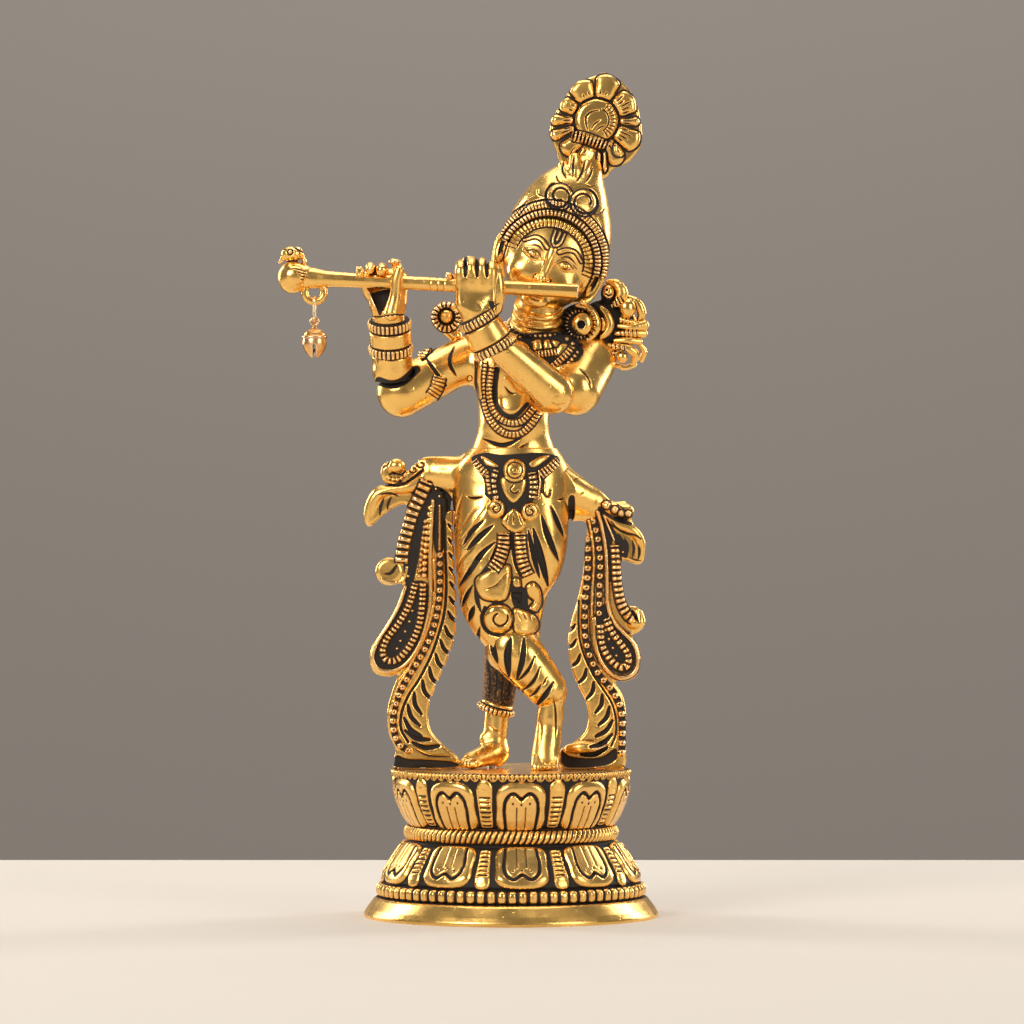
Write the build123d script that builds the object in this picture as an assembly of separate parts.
from build123d import *
from math import asin, cos, pi, sin
import os

# Figurine of a flute player on a round lotus pedestal: plated castings soldered together,
# with a small bell that hangs from the flute.
# Millimetres, +Z up, the figure faces -Y. The origin is the centre of the pedestal's underside.
# Right and left are the figure's own, so its right side is on -X.

# ---- Pedestal ----
FOOT_RADIUS = 50.0
DECK_RADIUS = 40.5
DECK_HEIGHT = 50.0
WALL = 3.0
DECK_THICKNESS = 3.5

# ---- Body ----
WAIST_HEIGHT = 160.0
SHIN_TOP = 92.0
RIGHT_SHOULDER = (-16.5, 0.0, 189.0)
RIGHT_ELBOW = (-37.0, -5.0, 177.5)
RIGHT_WRIST = (-41.8, -16.5, 201.0)
LEFT_SHOULDER = (29.0, 0.5, 188.5)
LEFT_ELBOW = (23.0, -11.0, 177.5)
LEFT_WRIST = (-8.5, -23.0, 200.5)
HAND_TOP = 222.0

# ---- Head ----
FACE_CENTRE = (12.6, -4.0, 221.2)
HEAD_TILT = 21.0
HEAD_RADIUS = 14.6
HEAD_HALF_HEIGHT = 18.2

# ---- Plume ----
PLUME_CENTRE = (28.9, 1.0, 271.3)
PLUME_RADIUS = 15.5
PLUME_THICKNESS = 5.0

# ---- Flute and what hangs from it ----
FLUTE_RADIUS = 2.5
FLUTE_DEPTH = -21.5
FLUTE_FAR_END = (-70.0, FLUTE_DEPTH, 215.8)
FLUTE_NEAR_END = (22.4, FLUTE_DEPTH, 211.3)
LOOP_WIRE = 1.25
LOOP_RADIUS = 3.25
LOOP_CENTRE = (-66.0, FLUTE_DEPTH, 211.0)
LINK_WIRE = 0.5
LINK_BEND = 1.95
LINK_LENGTH = 4.7
EYE_WIRE = 0.45
EYE_RADIUS = 1.2
BELL_RADIUS = 4.2
BELL_SEAM = 195.4
BELL_TIP = 188.9
BELL_WALL = 0.6
PELLET_RADIUS = 1.2

# ---- Scarves ----
SCARF_THICKNESS = 5.0
SCARF_FRONT = -1.0

# ---- Screws that hold the feet ----
SCREW_RADIUS = 1.5
SCREW_HEAD_RADIUS = 2.8
SCREW_HEAD_HEIGHT = 1.8
SCREW_LENGTH = 11.0


def limb(start, start_radius, end, end_radius):
    """A tapered round bar with ball ends."""
    axis = Vector(*end) - Vector(*start)
    lean = asin((start_radius - end_radius) / axis.length)

    def on_start(angle):
        return (start_radius * cos(angle), start_radius * sin(angle))

    def on_end(angle):
        return (end_radius * cos(angle), axis.length + end_radius * sin(angle))

    low = ThreePointArc(on_start(-pi / 2), on_start((lean - pi / 2) / 2), on_start(lean))
    side = Line(on_start(lean), on_end(lean))
    high = ThreePointArc(on_end(lean), on_end((lean + pi / 2) / 2), on_end(pi / 2))
    core = Line(on_end(pi / 2), on_start(-pi / 2))
    half = Plane.XZ * make_face(low + side + high + core)
    return Plane(origin=start, z_dir=axis) * revolve(half, Axis.Z)


def ellipsoid(centre, half_sizes):
    """A ball stretched along the three axes."""
    return Pos(*centre) * scale(Sphere(1), by=half_sizes)


def column(sections, place=Location()):
    """A smooth solid through level ellipses, each given by its centre, half width and half depth."""
    rings = [place * Pos(*centre) * Ellipse(wide, deep) for centre, wide, deep in sections]
    return loft([ring.face() for ring in rings])


def turned(outline, place=Location()):
    """A turned solid from the radius and height of its profile points."""
    return place * revolve(Plane.XZ * make_face(Polyline(*outline, close=True)), Axis.Z)


def blob(*outline):
    """A flat shape with a smooth closed outline."""
    return make_face(Spline(*outline, periodic=True))


def strap(width, *points):
    """A flat curved strap with round ends."""
    ends = [Pos(*end) * Circle(width / 2) for end in (points[0], points[-1])]
    return trace(Spline(*points), line_width=width) + ends


def disc(x, z, radius):
    """A flat round shape."""
    return Pos(x, z) * Circle(radius)


def standing(sketch, front, thickness):
    """A plate that stands in the XZ plane, from a flat shape."""
    return Pos(0, front, 0) * extrude(Plane.XZ * sketch, -thickness)


def ring_in_xz(centre, radius, wire):
    """A wire ring that stands in the XZ plane."""
    return Pos(*centre) * Rot(90, 0, 0) * Torus(radius, wire)


def above_deck(solid):
    """The part of a solid above the pedestal's deck."""
    return solid & Pos(0, 0, DECK_HEIGHT) * Box(400, 400, 400, align=(Align.CENTER, Align.CENTER, Align.MIN))


def make_pedestal():
    """Round lotus pedestal: a hollow casting, open below."""
    outside = [
        (FOOT_RADIUS, 0), (FOOT_RADIUS, 1.2), (FOOT_RADIUS - 1.6, 3.4), (46.2, 6.0), (46.0, 6.8),
        (45.2, 7.0), (45.8, 9.0), (45.2, 11.0), (43.6, 11.4),
        (44.4, 12.4), (44.0, 15.0), (41.0, 20.0), (37.4, 24.8), (35.0, 25.4),
        (35.4, 26.4), (36.4, 28.6), (35.4, 30.8), (34.2, 31.4),
        (35.2, 33.0), (38.2, 38.0), (40.2, 44.0), (DECK_RADIUS, 47.6), (DECK_RADIUS + 0.4, 48.8),
        (DECK_RADIUS, DECK_HEIGHT),
    ]
    inside = [
        (0, DECK_HEIGHT - DECK_THICKNESS), (36.0, DECK_HEIGHT - DECK_THICKNESS), (36.6, 43.0),
        (35.0, 38.0), (31.6, 33.0), (31.6, 26.0), (37.6, 19.0), (40.6, 13.0), (41.6, 6.0),
        (FOOT_RADIUS - WALL, 0),
    ]
    return turned(outside + [(0, DECK_HEIGHT)] + inside)


def make_screw(x, y):
    """A pan-head screw that points up, with its head under the deck."""
    under_deck = DECK_HEIGHT - DECK_THICKNESS
    head = Pos(x, y, under_deck) * Cylinder(
        SCREW_HEAD_RADIUS, SCREW_HEAD_HEIGHT, align=(Align.CENTER, Align.CENTER, Align.MAX)
    )
    slot = Pos(x, y, under_deck - SCREW_HEAD_HEIGHT) * Box(2 * SCREW_HEAD_RADIUS, 0.6, 1.2)
    shank = Pos(x, y, under_deck) * Cylinder(
        SCREW_RADIUS, SCREW_LENGTH, align=(Align.CENTER, Align.CENTER, Align.MIN)
    )
    return head + shank - slot


def make_dhoti():
    """Hips and thighs in wrapped cloth, from the waist to the crossed knees."""
    return column([
        ((-1.6, -1.0, SHIN_TOP - 4), 11.6, 9.5),
        ((-2.2, -1.5, 98), 13.6, 11.8),
        ((-2.4, -1.0, 108), 16.2, 13.0),
        ((-1.4, -0.5, 120), 18.6, 13.6),
        ((-0.2, 0, 133), 20.2, 13.6),
        ((0.2, 0, 145), 20.6, 13.4),
        ((0.7, 0, 154), 18.4, 12.0),
        ((0.9, 0, WAIST_HEIGHT), 14.6, 9.8),
    ])


def make_right_leg():
    """Front lower leg: it crosses to the left side and stands on its toes."""
    shin = limb((1.0, -5.5, 90), 11.0, (12.6, -7.5, 75), 6.6)
    foot = limb((14.4, -7.5, 72), 4.9, (11.4, -9.0, 56), 4.6)
    toes = limb((11.4, -9.0, 57), 4.4, (11.6, -11.0, 51.5), 4.2)
    return above_deck(shin + foot + toes)


def make_left_leg():
    """Back lower leg: it carries the weight, with its foot turned out to the right side."""
    shin = limb((-3.7, 4.5, 86), 8.4, (-5.2, 5.0, 69), 5.4)
    heel = limb((-5.2, 5.0, 69), 5.3, (-5.8, 4.0, 56), 5.4)
    foot = limb((-5.8, 3.0, 55.5), 5.2, (-14.4, -5.0, 53.0), 3.6)
    return above_deck(shin + heel + foot)


def make_left_anklet():
    """Ribbed band round the back ankle."""
    return Pos(-5.2, 5.0, 70) * Cylinder(6.6, 3.0)


def make_torso():
    """Chest and waist."""
    return column([
        ((0.9, 0, WAIST_HEIGHT), 14.6, 9.8),
        ((0.8, 0, 165), 12.4, 8.8),
        ((1.2, 0, 174), 12.6, 9.4),
        ((3.0, 0, 183), 16.6, 10.4),
        ((5.6, 0, 190), 20.6, 10.0),
        ((7.4, 0, 195), 17.0, 8.0),
        ((8.0, 0, 198.5), 9.0, 6.0),
    ])


def make_belt():
    """Medallion, chains and scrolls on the front of the hips."""
    pendant = blob((1.2, 157.5), (8.4, 146), (9.0, 137), (2.0, 129.8), (-5.6, 137), (-6.0, 146))
    right_strap = strap(4.6, (-3.0, 152.5), (-10.0, 153.6), (-15.0, 157.0))
    left_strap = strap(4.6, (5.0, 152.5), (12.0, 152.6), (17.0, 155.0))
    return standing(pendant + right_strap + left_strap, -15.6, 6.0)


def make_collar():
    """Beaded collar with a petal pendant."""
    band = Pos(6.6, -1.0, 194.5) * Rot(12, 6, 0) * Torus(9.6, 2.0)
    pendant = ellipsoid((12.4, -9.0, 190.5), (5.4, 2.6, 4.6))
    return band + pendant


def head_place(along=0.0):
    """A place on the head's own axis, which leans to the left side."""
    return Location(FACE_CENTRE) * Rot(0, HEAD_TILT, 0) * Pos(0, 0, along)


def make_head():
    """Face, jaw and ears, before the crown is fitted."""
    skull = head_place() * scale(Sphere(1), by=(HEAD_RADIUS, HEAD_RADIUS, HEAD_HALF_HEIGHT))
    right_ear = head_place(-3.0) * Pos(-14.6, 1.5, 0) * scale(Sphere(1), by=(2.2, 3.0, 6.4))
    left_ear = head_place(-5.0) * Pos(14.6, 1.5, 0) * scale(Sphere(1), by=(2.2, 3.0, 6.4))
    return skull + right_ear + left_ear


def make_neck():
    """Round neck, leaning with the head."""
    return limb((7.6, 0, 193.0), 6.2, (9.6, -2.6, 208.0), 5.8)


def make_crown():
    """Tall turban: round at the temples, narrow at the top, open over the face."""
    turban = column([
        ((0, 1.0, -7.0), 17.0, 14.6),
        ((0.6, 0.8, 2.0), 19.4, 15.8),
        ((0.0, 0.4, 12.0), 18.4, 15.8),
        ((-0.6, 0.8, 20.0), 16.2, 13.8),
        ((-1.0, 1.6, 28.0), 12.2, 10.4),
        ((-0.4, 2.6, 34.0), 7.6, 6.8),
        ((0.4, 3.4, 38.0), 5.0, 4.4),
    ], head_place())
    face_opening = head_place(-11.5) * Pos(0, -15.0, 0) * Box(60, 30, 43)
    return turban - face_opening


def make_plume():
    """Fan-shaped feather plate with a short stem."""
    x, y, z = PLUME_CENTRE
    fan = Pos(x, y, z) * Rot(90, 0, 0) * Cylinder(PLUME_RADIUS, PLUME_THICKNESS)
    stem = limb((25.9, 0.4, 252.5), 6.2, (27.6, y, 261.0), 7.0)
    return fan + stem


def make_right_upper_arm():
    return limb(RIGHT_SHOULDER, 7.6, RIGHT_ELBOW, 8.2)


def make_left_upper_arm():
    return limb(LEFT_SHOULDER, 8.2, LEFT_ELBOW, 8.0)


def make_right_forearm():
    """Forearm, cuffs and the hand whose fingers close on the flute."""
    x, y, z = RIGHT_WRIST
    forearm = limb(RIGHT_ELBOW, 7.6, RIGHT_WRIST, 6.4)
    cuffs = limb((x + 1.2, y + 2.6, z - 8.6), 7.4, (x, y, z - 1.0), 7.0)
    palm = limb((x, y, z), 6.2, (x + 0.4, y - 2.0, HAND_TOP - 7.0), 7.0)
    return forearm + cuffs + palm


def make_left_forearm():
    """Forearm across the chest, cuffs and the hand whose fingers close on the flute."""
    x, y, z = LEFT_WRIST
    forearm = limb(LEFT_ELBOW, 7.2, LEFT_WRIST, 5.8)
    cuffs = limb((x + 4.6, y + 1.8, z - 3.4), 6.8, (x - 1.2, y, z + 1.0), 6.4)
    palm = limb((x - 1.6, y, z + 3.0), 6.6, (x - 2.6, y - 0.4, HAND_TOP - 7.4), 7.2)
    return forearm + cuffs + palm


def make_flute():
    """Straight rod, a little thicker at the far end."""
    length = (Vector(*FLUTE_NEAR_END) - Vector(*FLUTE_FAR_END)).length
    rod = Cone(FLUTE_RADIUS + 0.5, FLUTE_RADIUS, length, align=(Align.CENTER, Align.CENTER, Align.MIN))
    return Plane(origin=FLUTE_FAR_END, z_dir=Vector(*FLUTE_NEAR_END) - Vector(*FLUTE_FAR_END)) * rod


def make_flute_bird():
    """Bird finial with its tail towards the flute."""
    body = ellipsoid((-73.1, FLUTE_DEPTH, 216.1), (5.4, 5.0, 5.6))
    head = ellipsoid((-73.6, FLUTE_DEPTH, 223.6), (4.3, 3.6, 3.4))
    return body + head


def loop_bottom():
    """Centre of the loop's wire where the link hangs."""
    x, y, z = LOOP_CENTRE
    return Vector(x, y, z - LOOP_RADIUS)


def link_bottom():
    """Centre of the link's wire where the bell's eye hangs."""
    return loop_bottom() - Vector(0, 0, LINK_LENGTH + LINK_BEND)


def make_bell_link():
    """Long oval wire link that hangs edge-on in the loop."""
    top = loop_bottom()
    half = LINK_BEND
    run = LINK_LENGTH
    arc_top = ThreePointArc((-half, 0), (0, half), (half, 0))
    side_right = Line((half, 0), (half, -run))
    arc_bottom = ThreePointArc((half, -run), (0, -run - half), (-half, -run))
    side_left = Line((-half, -run), (-half, 0))
    path = Plane.YZ * (arc_top + side_right + arc_bottom + side_left)
    section = Plane(origin=(0, -half, 0), z_dir=(0, 0, 1)) * Circle(LINK_WIRE)
    return Pos(*top) * sweep(section, path)


def bell_profile(inset):
    """Outer profile of the bell's lower half, moved inwards by the inset."""
    radius = BELL_RADIUS - inset
    return [
        (0, BELL_TIP + inset), (1.0, BELL_TIP + inset), (2.9 - inset * 0.8, BELL_TIP + 2.0 + inset * 0.6),
        (radius, BELL_TIP + 4.6), (radius - 0.2, BELL_SEAM),
    ]


def bell_place():
    x, y, z = LOOP_CENTRE
    return Pos(x, y, 0)


def make_bell_bottom():
    """Lower half of the bell, with its sound slit."""
    outside = bell_profile(0)
    inside = bell_profile(BELL_WALL)
    shell = turned(outside + inside[::-1])
    slit = Pos(0, 0, BELL_TIP + 2.0) * Box(0.9, 12, 5.0)
    return bell_place() * (shell - slit)


def make_bell_top():
    """Domed upper half of the bell with its hanging eye."""
    rim = BELL_RADIUS + 0.3
    wall = BELL_WALL
    shell = turned([
        (rim - 1.1, BELL_SEAM), (rim, BELL_SEAM), (rim, BELL_SEAM + 0.8), (3.7, BELL_SEAM + 1.8),
        (1.8, BELL_SEAM + 3.2), (0, BELL_SEAM + 3.4), (0, BELL_SEAM + 3.4 - wall - 0.2),
        (1.4, BELL_SEAM + 3.2 - wall - 0.2), (3.1, BELL_SEAM + 1.9 - wall),
    ])
    x, y, z = link_bottom()
    eye = ring_in_xz((0, 0, z), EYE_RADIUS, EYE_WIRE)
    post = Pos(0, 0, BELL_SEAM + 3.5) * Cylinder(0.75, 1.3)
    hole = Pos(0, 0, z) * Rot(90, 0, 0) * Cylinder(EYE_RADIUS - EYE_WIRE, 4)
    return bell_place() * (shell + eye + (post - hole))


def make_bell_pellet():
    """Loose ball that rests on the bell's floor."""
    return bell_place() * Pos(0, 0, BELL_TIP + BELL_WALL + PELLET_RADIUS + 0.12) * Sphere(PELLET_RADIUS)


def make_right_scarf():
    """Scarf of the right side: hip bridge, curl, leaf tip, ribbed strap, paisley and long tail."""
    bridge = strap(8.6, (-13.5, 152.5), (-22.0, 150.5), (-29.0, 151.0), (-37.5, 151.5))
    leaf = blob(
        (-31.5, 150.0), (-39.0, 147.0), (-45.5, 146.0), (-49.6, 139.5), (-49.6, 132.6), (-46.4, 132.6),
        (-40.5, 138.2), (-34.0, 142.0),
    )
    ribbed_strap = strap(5.4, (-29.5, 148.5), (-33.4, 139.0), (-36.4, 127.0), (-36.8, 119.0))
    drape = blob(
        (-28.0, 152.0), (-33.0, 136.0), (-36.4, 118.0), (-42.0, 100.0), (-47.6, 89.5), (-45.6, 82.0),
        (-39.6, 80.6), (-41.9, 68.0), (-39.4, 58.0), (-38.6, 49.0), (-24.0, 47.0), (-17.8, 52.4),
        (-24.6, 58.4), (-28.4, 67.0), (-25.0, 79.0), (-19.0, 94.0), (-18.6, 120.0), (-20.0, 146.0),
    )
    curl = disc(-39.3, 150.2, 4.7)
    scroll = disc(-41.4, 116.9, 4.8)
    flat = bridge + leaf + ribbed_strap + drape + curl + scroll
    return above_deck(standing(flat, SCARF_FRONT, SCARF_THICKNESS))


def make_left_scarf():
    """Scarf of the left side: the same pieces, lower and narrower."""
    bridge = blob(
        (12.0, 157.0), (22.0, 150.0), (32.0, 142.4), (39.4, 139.6), (40.6, 135.6), (34.0, 134.0),
        (27.0, 136.0), (20.6, 133.4), (15.0, 136.0), (11.0, 146.0),
    )
    leaf = blob(
        (31.0, 139.0), (38.6, 134.6), (43.8, 129.4), (45.2, 124.0), (43.6, 118.4), (38.6, 119.6),
        (33.0, 127.0),
    )
    ribbed_strap = strap(5.0, (33.0, 134.0), (35.6, 122.0), (36.4, 110.0), (39.6, 102.0))
    drape = blob(
        (27.0, 138.0), (32.0, 130.0), (34.0, 112.0), (38.0, 98.0), (43.4, 88.0), (41.6, 80.6),
        (36.0, 79.0), (39.6, 66.0), (37.8, 48.6), (22.0, 46.6), (17.2, 52.8), (24.4, 59.6),
        (26.0, 68.0), (20.6, 84.0), (19.8, 98.0), (24.0, 112.0),
    )
    scroll = disc(40.9, 99.6, 3.9)
    flat = bridge + leaf + ribbed_strap + drape + scroll
    return above_deck(standing(flat, SCARF_FRONT, SCARF_THICKNESS))


def make_left_shoulder_flower():
    """Cluster of knobs and petals behind the left shoulder."""
    petals = [
        ((33.0, 211.0), 5.0), ((40.0, 207.5), 5.0), ((45.0, 201.5), 4.2), ((44.4, 194.5), 4.2),
        ((38.6, 190.0), 4.6), ((36.0, 200.0), 7.5), ((28.0, 201.0), 6.0),
    ]
    cluster = Part() + [
        ellipsoid((x, 2.0, z), (radius, 4.6, radius)) for (x, z), radius in petals
    ]
    return cluster


def make_right_shoulder_flower():
    """Small flower behind the right shoulder."""
    petals = [(-21.8, 203.8), (-25.6, 200.6), (-21.0, 197.6)]
    return Part() + [ellipsoid((x, 2.6, z), (4.3, 3.4, 4.3)) for x, z in petals]


def make_left_earring():
    """Ring disc that is soldered under the left ear."""
    return Pos(24.1, -8.0, 200.8) * Rot(90, 0, 0) * (Cylinder(3.6, 2.2) - Cylinder(1.2, 4))


# ---- Assembly: each piece gives way to the ones it is fitted to ----
pieces = {
    "pedestal": make_pedestal(),
    "dhoti": make_dhoti(),
    "right_leg": make_right_leg(),
    "left_leg": make_left_leg(),
    "left_anklet": make_left_anklet(),
    "belt": make_belt(),
    "torso": make_torso(),
    "neck": make_neck(),
    "collar": make_collar(),
    "head": make_head(),
    "crown": make_crown(),
    "plume": make_plume(),
    "right_upper_arm": make_right_upper_arm(),
    "right_forearm": make_right_forearm(),
    "left_upper_arm": make_left_upper_arm(),
    "left_forearm": make_left_forearm(),
    "flute": make_flute(),
    "flute_bird": make_flute_bird(),
    "bell_loop": ring_in_xz(LOOP_CENTRE, LOOP_RADIUS, LOOP_WIRE),
    "bell_link": make_bell_link(),
    "bell_top": make_bell_top(),
    "bell_bottom": make_bell_bottom(),
    "bell_pellet": make_bell_pellet(),
    "right_scarf": make_right_scarf(),
    "left_scarf": make_left_scarf(),
    "right_shoulder_flower": make_right_shoulder_flower(),
    "left_shoulder_flower": make_left_shoulder_flower(),
    "left_earring": make_left_earring(),
    "feet_screws": make_screw(11.5, -9.5) + make_screw(-6.5, 2.5),
}

fitted_to = {
    "pedestal": ["feet_screws"],
    "right_leg": ["feet_screws"],
    "left_leg": ["feet_screws", "right_leg"],
    "left_anklet": ["left_leg", "right_leg"],
    "dhoti": ["right_leg", "left_leg"],
    "belt": ["dhoti", "torso"],
    "torso": ["collar"],
    "neck": ["torso", "collar"],
    "head": ["neck", "flute"],
    "crown": ["head", "neck"],
    "plume": ["crown"],
    "flute_bird": ["flute"],
    "bell_loop": ["flute", "flute_bird"],
    "right_upper_arm": ["torso", "collar"],
    "left_upper_arm": ["torso", "collar"],
    "right_forearm": ["right_upper_arm", "flute"],
    "left_forearm": ["left_upper_arm", "flute", "torso", "collar", "head"],
    "right_scarf": ["dhoti", "torso", "belt"],
    "left_scarf": ["dhoti", "torso", "belt"],
    "left_earring": ["head", "neck", "crown", "collar"],
    "right_shoulder_flower": ["torso", "right_upper_arm", "collar", "neck"],
    "left_shoulder_flower": [
        "torso", "left_upper_arm", "collar", "neck", "head", "crown", "left_earring",
    ],
}


def largest(solid):
    """The main body of a cut piece, without slivers that a cut leaves loose."""
    return max(solid.solids(), key=lambda body: body.volume)


for name, neighbours in fitted_to.items():
    for neighbour in neighbours:
        pieces[name] = pieces[name] - pieces[neighbour]
    pieces[name] = largest(pieces[name])

os.makedirs("parts", exist_ok=True)
for name, solid in pieces.items():
    export_step(solid, f"parts/{name}.step")
